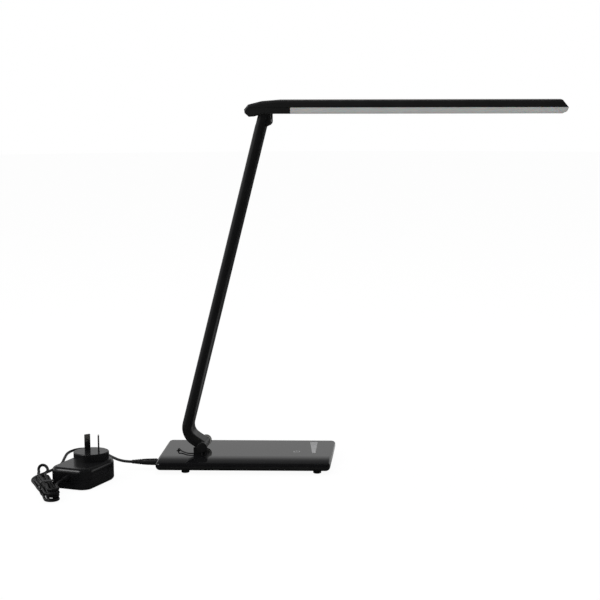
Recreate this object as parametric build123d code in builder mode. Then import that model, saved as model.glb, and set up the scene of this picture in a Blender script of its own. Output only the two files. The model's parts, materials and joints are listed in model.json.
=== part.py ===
from build123d import *

import os
from math import atan2, cos, degrees, hypot, radians, sin, tan

# LED desk lamp: a flat base, a flat arm that leans on a lower hinge, and a long thin head.
# Sizes are in millimetres. The origin is the middle of the base's footprint on the table.
# +X points along the head to its tip, +Y points to the back, +Z points up.

os.makedirs("parts", exist_ok=True)

# Base casings
base_length = 190.0
base_depth = 108.0
base_top = 13.4
base_corner = 5.2
base_top_round = 3.0
base_roll_depth = 30.0
base_roll_drop = 1.9
base_front_thickening = 1.2
base_under_round = 5.0
base_seam_z = 8.6
seam_gap = 0.2
foot_height = 3.2
shell_wall = 3.0
tray_floor = 2.0
cover_ceiling = 2.2

# Feet
foot_left_inset = 32.0
foot_right_inset = 14.5
foot_side_inset = 9.0
foot_radius = 4.4
foot_plug_radius = 3.0
foot_plug_depth = 1.2

# Screws that hold the base casings together
screw_left_inset = 15.0
screw_right_inset = 31.0
screw_side_inset = 10.0
base_screw_radius = 1.25
base_screw_head_radius = 2.4
base_screw_head_height = 1.3
base_boss_radius = 3.6
screw_clearance = 0.06

# Ballast plate on the tray floor
ballast_thickness = 3.8
ballast_left_inset = 25.0
ballast_right_inset = 57.0
ballast_side_inset = 7.0

# Touch board and its printed marks
board_length = 40.0
board_right_inset = 9.0
board_front_inset = 20.0
board_back_inset = 16.0
board_thickness = 1.2
board_gap = 0.2
board_post_radius = 2.2
board_pin_radius = 0.9
board_pin_inset = 4.0
mark_depth = 0.2
dimmer_mark_inset = 24.0
dimmer_mark_skew = 3.4
dimmer_mark_front = -9.0
dimmer_mark_back_inset = 10.0
dimmer_mark_widths = (3.6, 8.6)
power_mark_inset = 40.0
power_mark_y = -3.0
power_mark_radius = 3.6
power_mark_line = 0.9

# Power socket and the plug that sits in it
jack_front_inset = 22.0
jack_size = (13.0, 7.0, 5.2)
jack_nose_radius = 2.5
jack_nose_length = 2.6
plug_barrel_radius = 1.75
plug_pin_clearance = 0.08
plug_barrel_length = 9.5
plug_body_length = 28.3
plug_body_radii = (3.75, 2.85)
plug_rear_radius = 1.95
plug_body_gap = 0.3

# Lower hinge
lower_pivot_inset = 46.6
lower_pivot_z = 21.2
bracket_plate = (36.0, 58.0)
bracket_plate_thickness = 2.0
bracket_plate_shift = -3.6
ear_thickness = 3.5
ear_radius = 6.0
ear_neck = 9.0
lower_axle_radius = 2.5
axle_clearance = 0.05
washer_thickness = 0.6
washer_gap = 0.08
axle_head_radius = 3.8
axle_head_height = 1.6
axle_nut_radius = 3.6
axle_nut_height = 1.8
cap_radius = 5.4
cap_thickness = 1.0
bracket_screw_radius = 1.45
bracket_screw_head_radius = 2.6

# Arm
arm_lean = 14.5
arm_width = 32.0
arm_thickness = 11.2
arm_wall = 1.5
arm_edge_radius = 5.2
arm_offset = 22.0
arm_bend_radius = 17.0
arm_bend_turn = 70.0
arm_span = 364.0
arm_stub_gap = 6.4
arm_tenon_length = 14.0
arm_tenon_clearance = 0.1
lower_knuckle_radius = 5.0
upper_offset = 4.9
upper_knuckle_radius = 4.8
upper_knuckle_width = 16.8
upper_cheek_inner = 9.0
arm_plate_inner = 12.9
arm_shoulder_drop = 5.8
arm_plate_peg_radius = 0.9
arm_plate_peg_length = 2.0
arm_top_drop = 9.0
arm_top_rise = 11.0
arm_top_round = 3.5
arm_wire_radius = 1.3
arm_wire_hole = 1.7

# Head
head_width = 38.0
head_back = 22.98
head_length = 346.4
head_rise = 22.91
head_seam_drop = 7.6
head_depth = 14.4
head_tail_depth = 17.5
head_wall = 1.6
head_edge_round = 2.4
diffuser_start = 49.6
diffuser_gap = 0.2
diffuser_wall = 1.5
diffuser_lip = 1.4
diffuser_lip_height = 1.2
cheek_thickness = 2.6
cheek_radius = 5.2
well_reach = (15.809, 8.391)
upper_axle_radius = 2.0
upper_head_radius = 3.0
upper_head_height = 0.9
carrier_drop = 5.4
carrier_thickness = 1.2
carrier_width = 28.0
carrier_flange = 2.2
carrier_end_gap = 8.0
led_board_thickness = 1.0
led_board_width = 12.0
led_count = 28
led_size = (3.5, 2.8, 0.8)
carrier_screw_count = 5
carrier_screw_radius = 1.2
carrier_screw_y = 9.5
tail_screw_inset = 10.0
tail_screw_y = 12.0

# Lead from the base to the hinge
lead_radius = 0.7
grommet_inset = 18.1
grommet_y = -1.0
grommet_radius = 1.6
grommet_flange = 2.1
grommet_rise = 0.6

# Wall adapter, laid on the table with its pins up
adapter_at = (-159.2, -75.8)
adapter_turn = 250.5
adapter_half_width = 23.5
adapter_reach = 49.0
adapter_corner = 12.0
adapter_height = 22.3
adapter_split_z = 11.2
adapter_under_round = 3.0
adapter_top_round = 4.5
adapter_wall = 2.0
plug_boss_radius = 18.8
plug_boss_top = 30.5
pin_height = 17.1
pin_width = 6.35
pin_thickness = 1.63
pin_side = 6.86
pin_forward = 3.96
pin_splay = 30.0
sleeve_height = 9.0
sleeve_wall = 0.35
relief_length = 8.0
relief_radii = (3.3, 2.2)
relief_z = 12.4

# Cord and its hank
cord_diameter = 3.0
hank_at = (-194.0, -135.0)
hank_turn = 111.5
hank_first_z = 2.5
hank_layer_step = 3.45
hank_inner_offset = 2.5
hank_offset_step = 1.73
hank_waist_x = -8.0
hank_waist_draw = 1.5
hank_near_reach = (35.0, 33.5, 36.0, 34.5)
hank_far_reach = (33.0, 34.5, 31.5, 33.0)
hank_start_x = 14.0
hank_loose_reach = 47.0
hank_loose_width = 9.8
hank_loose_shift = 3.3
hank_loose_rise = 4.5
hank_exit_x = -28.0
tie_width = 6.0
tie_thickness = 0.6
tie_gap = 0.3


def save(piece, name):
    """Labels one finished piece and writes its file."""
    piece.part.label = name
    export_step(piece.part, f"parts/{name}.step")


def across(y):
    """The upright plane at depth y, seen from the front: its x is +X and its y is +Z."""
    return Plane.XZ.offset(-y)


def corner_radii(points, share=0.45):
    """The largest arc that each corner of a cord's route takes."""
    radii = []
    for before, corner, after in zip(points, points[1:], points[2:]):
        first = Vector(*corner) - Vector(*before)
        second = Vector(*after) - Vector(*corner)
        turn = radians(first.get_angle(second))
        radii.append(share * min(first.length, second.length) / tan(turn / 2))
    return radii


def report_tube(name, piece, line, radius):
    """Prints how a tube's volume compares with its section times its length."""
    expected = 3.14159265 * radius**2 * line.length
    print(f"{name}: length {line.length:.1f}, volume {piece.part.volume / expected:.4f} of expected")


# Places that follow from the base's size
base_left = -base_length / 2
base_right = base_length / 2
base_back = base_depth / 2
front_y = -base_depth / 2
roll_start_y = front_y + base_roll_depth
foot_x = (base_left + foot_left_inset, base_right - foot_right_inset)
foot_y = base_back - foot_side_inset
base_screw_x = (base_left + screw_left_inset, base_right - screw_right_inset)
base_screw_y = base_back - screw_side_inset
ballast_x = (base_left + ballast_left_inset, base_right - ballast_right_inset)
ballast_depth = base_depth - 2 * ballast_side_inset
board_x = (base_right - board_right_inset - board_length, base_right - board_right_inset)
board_y = (board_front_inset - base_back, base_back - board_back_inset)
dimmer_mark_x = base_right - dimmer_mark_inset
dimmer_mark_y = (dimmer_mark_front, base_back - dimmer_mark_back_inset)
power_mark_at = (base_right - power_mark_inset, power_mark_y)
jack_y = jack_front_inset - base_back
lower_pivot_x = base_left + lower_pivot_inset
bracket_plate_x = lower_pivot_x + bracket_plate_shift
grommet_at = (base_left + grommet_inset, grommet_y)

# The base casings share one rounded form
with BuildPart() as base_form:
    # side view: the top falls away gently towards the front
    with BuildSketch(Plane.YZ.offset(base_left)):
        with BuildLine():
            TangentArc((roll_start_y, base_top), (front_y, base_top - base_roll_drop), tangent=(-1, 0))
            Polyline(
                (front_y, base_top - base_roll_drop),
                (front_y, foot_height),
                (base_back, foot_height),
                (base_back, base_top),
                (roll_start_y, base_top),
            )
        make_face()
    extrude(amount=base_length)
    fillet(base_form.edges().filter_by(Axis.Z), base_corner)
    rim_low = base_top - base_roll_drop - 0.6
    rim = base_form.edges().filter_by(lambda e: e.bounding_box().min.Z > rim_low)
    rim = rim.filter_by(lambda e: abs(e.center().Y - roll_start_y) > 0.01)
    fillet(rim, base_top_round)
    fillet(base_form.faces().sort_by(Axis.Z)[0].edges(), base_under_round)

tray_top_z = base_seam_z - seam_gap
floor_z = foot_height + tray_floor
ceiling_z = base_top - cover_ceiling
inner_length = base_length - 2 * shell_wall
inner_depth = base_depth - 2 * shell_wall
inner_corner = base_corner - shell_wall
jack_z = (floor_z + ceiling_z) / 2
screw_places = [(x, side * base_screw_y) for x in base_screw_x for side in (-1, 1)]
foot_places = [(x, side * foot_y) for x in foot_x for side in (-1, 1)]
board_centre = (sum(board_x) / 2, sum(board_y) / 2)
board_pin_span = (
    board_x[1] - board_x[0] - 2 * board_pin_inset,
    board_y[1] - board_y[0] - 2 * board_pin_inset,
)
board_top = ceiling_z - board_gap
board_bottom = board_top - board_thickness
neck_x = lower_pivot_x - ear_neck / 2
ear_inner = arm_width / 2 + washer_thickness + 2 * washer_gap
ear_outer = ear_inner + ear_thickness
jack_hole_radius = jack_nose_radius + plug_body_gap / 2

with BuildPart() as base_top_cover:
    add(base_form.part)
    split(bisect_by=Plane.XY.offset(base_seam_z), keep=Keep.TOP)
    with BuildSketch(Plane.XY.offset(base_seam_z)):
        RectangleRounded(inner_length, inner_depth, inner_corner)
    extrude(amount=ceiling_z - base_seam_z, mode=Mode.SUBTRACT)
    # thicker ceiling under the falling front
    with BuildSketch(Plane.XY.offset(ceiling_z - base_front_thickening)):
        with Locations((0, front_y + shell_wall + 5.5)):
            Rectangle(inner_length, 11.0)
    extrude(amount=base_front_thickening)
    # bosses that take the casing screws
    with BuildSketch(Plane.XY.offset(base_seam_z)):
        with Locations(*screw_places):
            Circle(base_boss_radius)
    extrude(amount=ceiling_z - base_seam_z)
    with BuildSketch(Plane.XY.offset(base_seam_z)):
        with Locations(*screw_places):
            Circle(base_screw_radius + screw_clearance)
    extrude(amount=ceiling_z - base_seam_z, mode=Mode.SUBTRACT)
    # slots for the hinge ears
    with BuildSketch(Plane.XY.offset(ceiling_z)):
        with Locations((neck_x, ear_inner + ear_thickness / 2), (neck_x, -ear_inner - ear_thickness / 2)):
            Rectangle(ear_neck + 2 * seam_gap, ear_thickness + 2 * seam_gap)
    extrude(amount=cover_ceiling, mode=Mode.SUBTRACT)
    # hole for the lead's grommet
    with BuildSketch(Plane.XY.offset(ceiling_z)):
        with Locations(grommet_at):
            Circle(grommet_radius)
    extrude(amount=cover_ceiling, mode=Mode.SUBTRACT)
    # half of the socket's port
    with BuildSketch(Plane.YZ.offset(-base_length / 2)):
        with Locations((jack_y, jack_z)):
            Circle(jack_hole_radius)
    extrude(amount=shell_wall, mode=Mode.SUBTRACT)
    # pockets for the printed marks
    with BuildSketch(Plane.XY.offset(base_top - mark_depth)) as dimmer_outline:
        Polygon(
            (dimmer_mark_x + dimmer_mark_skew - dimmer_mark_widths[0] / 2, dimmer_mark_y[0]),
            (dimmer_mark_x + dimmer_mark_skew + dimmer_mark_widths[0] / 2, dimmer_mark_y[0]),
            (dimmer_mark_x + dimmer_mark_widths[1] / 2, dimmer_mark_y[1]),
            (dimmer_mark_x - dimmer_mark_widths[1] / 2, dimmer_mark_y[1]),
            align=None,
        )
    extrude(amount=mark_depth, mode=Mode.SUBTRACT)
    with BuildSketch(Plane.XY.offset(base_top - mark_depth)) as power_outline:
        with Locations(power_mark_at):
            Circle(power_mark_radius)
            Circle(power_mark_radius - power_mark_line, mode=Mode.SUBTRACT)
        with Locations((power_mark_at[0], power_mark_at[1] + power_mark_radius)):
            Rectangle(3 * power_mark_line, 2 * power_mark_radius, mode=Mode.SUBTRACT)
        with Locations((power_mark_at[0], power_mark_at[1] + power_mark_radius * 0.7)):
            Rectangle(power_mark_line, power_mark_radius)
    extrude(amount=mark_depth, mode=Mode.SUBTRACT)
save(base_top_cover, "base_top_cover")

with BuildPart() as dimmer_mark:
    add(dimmer_outline.sketch)
    extrude(amount=mark_depth)
save(dimmer_mark, "dimmer_mark")

with BuildPart() as power_mark:
    add(power_outline.sketch)
    extrude(amount=mark_depth)
save(power_mark, "power_mark")

with BuildPart() as base_bottom_tray:
    add(base_form.part)
    split(bisect_by=Plane.XY.offset(tray_top_z), keep=Keep.BOTTOM)
    with BuildSketch(Plane.XY.offset(floor_z)):
        RectangleRounded(inner_length, inner_depth, inner_corner)
    extrude(amount=tray_top_z - floor_z, mode=Mode.SUBTRACT)
    # bosses under the cover's bosses
    with BuildSketch(Plane.XY.offset(floor_z)):
        with Locations(*screw_places):
            Circle(base_boss_radius)
    extrude(amount=tray_top_z - floor_z)
    # posts and pins that carry the touch board
    with BuildSketch(Plane.XY.offset(floor_z)):
        with Locations(board_centre):
            with GridLocations(board_pin_span[0], board_pin_span[1], 2, 2):
                Circle(board_post_radius)
    extrude(amount=board_bottom - floor_z)
    with BuildSketch(Plane.XY.offset(board_bottom)):
        with Locations(board_centre):
            with GridLocations(board_pin_span[0], board_pin_span[1], 2, 2):
                Circle(board_pin_radius)
    extrude(amount=board_thickness)
    # screw holes with deep recesses for the heads
    with BuildSketch(Plane.XY.offset(foot_height)):
        with Locations(*screw_places):
            Circle(base_screw_radius + screw_clearance)
    extrude(amount=tray_top_z - foot_height, mode=Mode.SUBTRACT)
    with BuildSketch(Plane.XY.offset(foot_height)):
        with Locations(*screw_places):
            Circle(base_screw_head_radius + seam_gap)
    extrude(amount=base_screw_head_height + seam_gap, mode=Mode.SUBTRACT)
    # recesses that the feet plug into
    with BuildSketch(Plane.XY.offset(foot_height)):
        with Locations(*foot_places):
            Circle(foot_plug_radius)
    extrude(amount=foot_plug_depth, mode=Mode.SUBTRACT)
    # half of the socket's port
    with BuildSketch(Plane.YZ.offset(-base_length / 2)):
        with Locations((jack_y, jack_z)):
            Circle(jack_hole_radius)
    extrude(amount=shell_wall, mode=Mode.SUBTRACT)
save(base_bottom_tray, "base_bottom_tray")

with BuildPart() as base_feet:
    with BuildSketch():
        with Locations(*foot_places):
            Circle(foot_radius)
    extrude(amount=foot_height)
    chamfer(base_feet.faces().filter_by(Axis.Z).group_by(Axis.Z)[0].edges(), 0.6)
    with BuildSketch(Plane.XY.offset(foot_height)):
        with Locations(*foot_places):
            Circle(foot_plug_radius)
    extrude(amount=foot_plug_depth)
save(base_feet, "base_feet")

base_screw_head_z = foot_height + base_screw_head_height
with BuildPart() as base_screws:
    with BuildSketch(Plane.XY.offset(foot_height + seam_gap)):
        with Locations(*screw_places):
            Circle(base_screw_head_radius)
    extrude(amount=base_screw_head_height)
    with BuildSketch(Plane.XY.offset(foot_height + seam_gap)):
        with Locations(*screw_places):
            Circle(base_screw_radius)
    extrude(amount=ceiling_z - foot_height - 2 * seam_gap)
    with BuildSketch(Plane.XY.offset(foot_height + seam_gap)):
        with Locations(*screw_places):
            Rectangle(2.6, 0.6)
            Rectangle(0.6, 2.6)
    extrude(amount=0.7, mode=Mode.SUBTRACT)
save(base_screws, "base_screws")

# Bracket screws stand at the corners of the bracket's plate
bracket_screw_places = [
    (bracket_plate_x + sx * (bracket_plate[0] / 2 - 5), sy * (bracket_plate[1] / 2 - 5))
    for sx in (-1, 1)
    for sy in (-1, 1)
]
ballast_top = floor_z + ballast_thickness
bracket_top = ballast_top + bracket_plate_thickness

with BuildPart() as base_ballast:
    with BuildSketch(Plane.XY.offset(floor_z)):
        with Locations((sum(ballast_x) / 2, 0)):
            RectangleRounded(ballast_x[1] - ballast_x[0], ballast_depth, 4)
    extrude(amount=ballast_thickness)
    with BuildSketch(Plane.XY.offset(floor_z)):
        with Locations(*bracket_screw_places):
            Circle(bracket_screw_radius + screw_clearance)
    extrude(amount=ballast_thickness, mode=Mode.SUBTRACT)
save(base_ballast, "base_ballast")

with BuildPart() as hinge_bracket:
    with BuildSketch(Plane.XY.offset(ballast_top)):
        with Locations((bracket_plate_x, 0)):
            RectangleRounded(bracket_plate[0], bracket_plate[1], 3)
    extrude(amount=bracket_plate_thickness)
    for outer in (ear_outer, -ear_inner):
        with BuildSketch(across(outer)):
            with Locations((neck_x, (bracket_top + lower_pivot_z) / 2)):
                Rectangle(ear_neck, lower_pivot_z - bracket_top)
            with Locations((lower_pivot_x, lower_pivot_z)):
                Circle(ear_radius)
        extrude(amount=ear_thickness)
    # bore for the axle, with a seat for its head in front and its nut behind
    with BuildSketch(across(ear_outer)):
        with Locations((lower_pivot_x, lower_pivot_z)):
            Circle(lower_axle_radius + axle_clearance)
    extrude(amount=2 * ear_outer, mode=Mode.SUBTRACT)
    with BuildSketch(across(-ear_outer + axle_head_height)):
        with Locations((lower_pivot_x, lower_pivot_z)):
            Circle(axle_head_radius + seam_gap)
    extrude(amount=axle_head_height, mode=Mode.SUBTRACT)
    with BuildSketch(across(ear_outer)):
        with Locations((lower_pivot_x, lower_pivot_z)):
            RegularPolygon(axle_nut_radius + seam_gap, 6)
    extrude(amount=axle_nut_height, mode=Mode.SUBTRACT)
    # countersunk holes
    with Locations(*[(x, y, bracket_top) for x, y in bracket_screw_places]):
        CounterSinkHole(
            bracket_screw_radius + screw_clearance,
            bracket_screw_head_radius + screw_clearance,
            depth=bracket_plate_thickness,
            counter_sink_angle=90,
        )
save(hinge_bracket, "hinge_bracket")

with BuildPart() as bracket_screws:
    with BuildSketch(Plane.XY.offset(floor_z + seam_gap)):
        with Locations(*bracket_screw_places):
            Circle(bracket_screw_radius)
    extrude(amount=bracket_top - floor_z - seam_gap)
    for x, y in bracket_screw_places:
        with BuildSketch(Plane((x, y, bracket_top - bracket_screw_head_radius + bracket_screw_radius))):
            Circle(bracket_screw_radius)
        with BuildSketch(Plane((x, y, bracket_top))):
            Circle(bracket_screw_head_radius)
        loft()
save(bracket_screws, "bracket_screws")

with BuildPart() as touch_board:
    with BuildSketch(Plane.XY.offset(board_bottom)):
        with Locations(board_centre):
            Rectangle(board_x[1] - board_x[0], board_y[1] - board_y[0])
            with GridLocations(board_pin_span[0], board_pin_span[1], 2, 2):
                Circle(board_pin_radius + axle_clearance, mode=Mode.SUBTRACT)
    extrude(amount=board_thickness)
save(touch_board, "touch_board")

with BuildPart() as board_components:
    for x, y, length, width, height in (
        (12, -14, 7, 7, 1.2),
        (25, -18, 5, 5, 2.4),
        (26, 2, 5, 4, 1.6),
        (10, 20, 4.5, 3, 2.0),
        (30, 22, 8, 3, 2.6),
        (8, 4, 3.2, 1.6, 0.9),
        (16, 4, 3.2, 1.6, 0.9),
    ):
        with BuildSketch(Plane.XY.offset(board_bottom - height)):
            with Locations((board_x[0] + x, y)):
                Rectangle(length, width)
        extrude(amount=height)
save(board_components, "board_components")

# Socket in the base's left wall
jack_front_x = -base_length / 2 + shell_wall + seam_gap
with BuildPart() as dc_jack:
    with BuildSketch(Plane.YZ.offset(jack_front_x)):
        with Locations((jack_y, jack_z)):
            Rectangle(jack_size[1], jack_size[2])
    extrude(amount=jack_size[0])
    with BuildSketch(Plane.YZ.offset(jack_front_x - jack_nose_length)):
        with Locations((jack_y, jack_z)):
            Circle(jack_nose_radius)
    extrude(amount=jack_nose_length)
    with BuildSketch(Plane.YZ.offset(jack_front_x - jack_nose_length)):
        with Locations((jack_y, jack_z)):
            Circle(plug_barrel_radius + plug_pin_clearance)
    extrude(amount=plug_barrel_length + plug_body_gap, mode=Mode.SUBTRACT)
save(dc_jack, "dc_jack")

with BuildPart() as jack_wires:
    wire_z = floor_z + 1.0
    for row, side_y in enumerate((2.0 - inner_depth / 2, 3.1 - inner_depth / 2)):
        start_x = jack_front_x + jack_size[0]
        route = [
            (start_x, jack_y - 1.1 + 2.2 * row, wire_z),
            (start_x + 2.5 + 1.5 * row, jack_y - 1.1 + 2.2 * row, wire_z),
            (start_x + 4.0 + 1.5 * row, side_y, wire_z),
            (board_x[0] + 7 - 2 * row, side_y, wire_z),
            (board_x[0] + 13 - 2 * row, board_y[0] + 4, board_bottom - 0.5),
        ]
        with BuildLine() as wire_line:
            FilletPolyline(*route, radius=1.6)
        with BuildSketch(Plane(origin=wire_line.line @ 0, z_dir=wire_line.line % 0)):
            Circle(0.5)
        sweep(path=wire_line.line)
save(jack_wires, "jack_wires")

# The plug in the socket: a metal barrel and a moulded body
plug_face_x = -base_length / 2 - plug_body_gap
plug_rear_x = plug_face_x - plug_body_length
with BuildPart() as dc_plug_barrel:
    with BuildSketch(Plane.YZ.offset(plug_face_x)):
        with Locations((jack_y, jack_z)):
            Circle(plug_barrel_radius)
            Circle(0.65, mode=Mode.SUBTRACT)
    extrude(amount=plug_barrel_length)
save(dc_plug_barrel, "dc_plug_barrel")

with BuildPart() as dc_plug_body:
    with BuildSketch(across(jack_y)):
        with BuildLine():
            grip_x = plug_face_x - plug_body_length * 0.55
            Polyline(
                (plug_rear_x, jack_z),
                (plug_rear_x, jack_z + plug_rear_radius),
                (plug_rear_x + 8.0, jack_z + plug_body_radii[1]),
                (grip_x + 3.5, jack_z + plug_body_radii[0] - 0.3),
                (plug_face_x - 0.8, jack_z + plug_body_radii[0]),
                (plug_face_x, jack_z + plug_body_radii[0] - 0.8),
                (plug_face_x, jack_z),
                close=True,
            )
        make_face()
    revolve(axis=Axis((plug_face_x, jack_y, jack_z), (1, 0, 0)))
    # shallow rings moulded round the thin end
    with BuildSketch(across(jack_y)):
        with Locations(*[(plug_rear_x + 3.2 + 2.4 * k, jack_z + 2.42 + 0.22 * k) for k in range(4)]):
            Rectangle(1.1, 0.9)
    revolve(axis=Axis((plug_face_x, jack_y, jack_z), (1, 0, 0)), mode=Mode.SUBTRACT)
save(dc_plug_body, "dc_plug_body")

# Lower hinge: axle, nut, washers and end caps
with BuildPart() as lower_axle:
    with BuildSketch(across(ear_outer - 0.4)):
        with Locations((lower_pivot_x, lower_pivot_z)):
            Circle(lower_axle_radius)
    extrude(amount=2 * ear_outer - 0.4 - seam_gap)
    with BuildSketch(across(-ear_outer + axle_head_height)):
        with Locations((lower_pivot_x, lower_pivot_z)):
            Circle(axle_head_radius)
    extrude(amount=axle_head_height - seam_gap)
save(lower_axle, "lower_axle")

with BuildPart() as lower_nut:
    with BuildSketch(across(ear_outer - seam_gap)):
        with Locations((lower_pivot_x, lower_pivot_z)):
            RegularPolygon(axle_nut_radius, 6)
            Circle(lower_axle_radius + axle_clearance, mode=Mode.SUBTRACT)
    extrude(amount=axle_nut_height - seam_gap)
save(lower_nut, "lower_nut")

with BuildPart() as lower_washers:
    for outer in (ear_inner - washer_gap, -ear_inner + washer_gap + washer_thickness):
        with BuildSketch(across(outer)):
            with Locations((lower_pivot_x, lower_pivot_z)):
                Circle(ear_radius - 0.3)
                Circle(lower_axle_radius + axle_clearance, mode=Mode.SUBTRACT)
        extrude(amount=washer_thickness)
save(lower_washers, "lower_washers")

with BuildPart() as lower_caps:
    for outer in (ear_outer + cap_thickness, -ear_outer):
        with BuildSketch(across(outer)):
            with Locations((lower_pivot_x, lower_pivot_z)):
                Circle(cap_radius)
        extrude(amount=cap_thickness)
    outer_faces = lower_caps.faces().filter_by(Axis.Y).sort_by(Axis.Y)
    fillet(outer_faces[0].edges() + outer_faces[-1].edges(), 0.5)
save(lower_caps, "lower_caps")

# The arm's line: straight up the lean, with a bend at the foot that turns in to the pivot
lean = radians(arm_lean)
arm_up = Vector(sin(lean), 0, cos(lean))
arm_out = Vector(cos(lean), 0, -sin(lean))
lower_pivot = Vector(lower_pivot_x, 0, lower_pivot_z)
bend = radians(arm_bend_turn)
stub_way = arm_out * sin(bend) - arm_up * cos(bend)
stub_length = (arm_offset - arm_bend_radius * (1 - cos(bend))) / sin(bend)
bend_rise = arm_bend_radius * sin(bend) + stub_length * cos(bend)
bend_start = lower_pivot - arm_out * arm_offset + arm_up * bend_rise
bend_end = lower_pivot - stub_way * stub_length
stub_end = lower_pivot - stub_way * arm_stub_gap
upper_pivot = lower_pivot - arm_out * (arm_offset - upper_offset) + arm_up * arm_span
arm_top = upper_pivot - arm_out * upper_offset - arm_up * arm_top_drop


def arm_path():
    """Draws the arm's middle line from the stub to the top, in the line that is open."""
    Line(stub_end, bend_end)
    TangentArc(bend_end, bend_start, tangent=stub_way * -1)
    Line(bend_start, arm_top)


with BuildPart() as arm_tube:
    with BuildLine() as arm_line:
        arm_path()
    with BuildSketch(Plane(origin=stub_end, x_dir=(0, 1, 0), z_dir=stub_way * -1)):
        RectangleRounded(arm_width, arm_thickness, arm_edge_radius)
        RectangleRounded(
            arm_width - 2 * arm_wall,
            arm_thickness - 2 * arm_wall,
            arm_edge_radius - arm_wall,
            mode=Mode.SUBTRACT,
        )
    sweep(path=arm_line.line)
save(arm_tube, "arm_tube")

tenon_width = arm_width - 2 * arm_wall - 2 * arm_tenon_clearance
tenon_thickness = arm_thickness - 2 * arm_wall - 2 * arm_tenon_clearance
tenon_radius = arm_edge_radius - arm_wall - arm_tenon_clearance
lower_tenon_length = stub_length - arm_stub_gap
stub_plane = Plane(origin=stub_end, x_dir=(0, 1, 0), z_dir=stub_way)

with BuildPart() as arm_knuckle:
    with BuildSketch(stub_plane):
        RectangleRounded(arm_width, arm_thickness, arm_edge_radius)
    extrude(amount=arm_stub_gap - 1.0)
    with BuildSketch(stub_plane):
        RectangleRounded(tenon_width, tenon_thickness, tenon_radius)
    extrude(amount=-lower_tenon_length)
    with BuildSketch(across(arm_width / 2)):
        with Locations((lower_pivot_x, lower_pivot_z)):
            Circle(lower_knuckle_radius)
    extrude(amount=arm_width)
    with BuildSketch(across(arm_width / 2)):
        with Locations((lower_pivot_x, lower_pivot_z)):
            Circle(lower_axle_radius + axle_clearance)
    extrude(amount=arm_width, mode=Mode.SUBTRACT)
    with BuildSketch(stub_plane.offset(-lower_tenon_length)):
        Circle(arm_wire_hole)
    extrude(amount=lower_tenon_length + 2.0, mode=Mode.SUBTRACT)
save(arm_knuckle, "arm_knuckle")

# The fitting at the top of the arm, drawn square to the arm round the upper pivot
top_plane = Plane(origin=upper_pivot, x_dir=arm_out, z_dir=(0, -1, 0))
tenon_plane = Plane(origin=arm_top, x_dir=(0, 1, 0), z_dir=arm_up * -1)
arm_axis = Axis((0, 0, 0), arm_up)
shoulder = upper_pivot - arm_out * upper_offset - arm_up * arm_shoulder_drop
shoulder_plane = Plane(origin=shoulder, x_dir=(0, 1, 0), z_dir=arm_up)
plate_middle_y = (arm_width / 2 + arm_plate_inner) / 2
with BuildPart() as arm_top_fitting:
    with BuildSketch(top_plane):
        with Locations((-upper_offset, -(arm_shoulder_drop + arm_top_drop) / 2)):
            Rectangle(arm_thickness, arm_top_drop - arm_shoulder_drop)
    extrude(amount=arm_width / 2, both=True)
    fillet(arm_top_fitting.edges().filter_by(arm_axis), arm_edge_radius)
    # the knuckle stands on the shoulder between the head's cheeks
    with BuildSketch(top_plane):
        with Locations((-upper_offset + 0.5, -(arm_shoulder_drop + 0.6) / 2)):
            Rectangle(arm_thickness - 2.0, arm_shoulder_drop + 0.6)
        Circle(upper_knuckle_radius)
        Circle(upper_axle_radius + axle_clearance, mode=Mode.SUBTRACT)
    extrude(amount=upper_knuckle_width / 2, both=True)
    with BuildSketch(shoulder_plane):
        with Locations((-plate_middle_y, 0), (plate_middle_y, 0)):
            Circle(arm_plate_peg_radius)
    extrude(amount=-arm_plate_peg_length, mode=Mode.SUBTRACT)
    with BuildSketch(tenon_plane):
        RectangleRounded(tenon_width, tenon_thickness, tenon_radius)
    extrude(amount=arm_tenon_length)
    with BuildSketch(tenon_plane.offset(arm_tenon_length)):
        Circle(arm_wire_hole)
    extrude(amount=-arm_tenon_length - 4.0, mode=Mode.SUBTRACT)
save(arm_top_fitting, "arm_top_fitting")

# Side plates carry the arm's outline up into the head and hide the hinge
with BuildPart() as arm_end_plates:
    with BuildSketch(shoulder_plane):
        RectangleRounded(arm_width, arm_thickness, arm_edge_radius)
        Rectangle(2 * arm_plate_inner, arm_thickness + 2.0, mode=Mode.SUBTRACT)
    extrude(amount=arm_shoulder_drop + arm_top_rise)
    with BuildSketch(top_plane) as plate_side:
        with Locations((-upper_offset, (arm_top_rise - arm_shoulder_drop) / 2)):
            Rectangle(arm_thickness, arm_top_rise + arm_shoulder_drop)
        fillet(plate_side.vertices().sort_by(Axis.Y)[-2:], arm_top_round)
    extrude(amount=arm_width / 2 + 1.0, both=True, mode=Mode.INTERSECT)
    with BuildSketch(shoulder_plane):
        with Locations((-plate_middle_y, 0), (plate_middle_y, 0)):
            Circle(arm_plate_peg_radius)
    extrude(amount=-arm_plate_peg_length)
save(arm_end_plates, "arm_end_plates")

with BuildPart() as arm_wire:
    with BuildLine() as wire_path:
        Line(stub_end + stub_way * 1.5, bend_end)
        TangentArc(bend_end, bend_start, tangent=stub_way * -1)
        Line(bend_start, arm_top + arm_up * 3.5)
    with BuildSketch(Plane(origin=wire_path.line @ 0, z_dir=wire_path.line % 0)):
        Circle(arm_wire_radius)
    sweep(path=wire_path.line)
save(arm_wire, "arm_wire")

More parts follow.
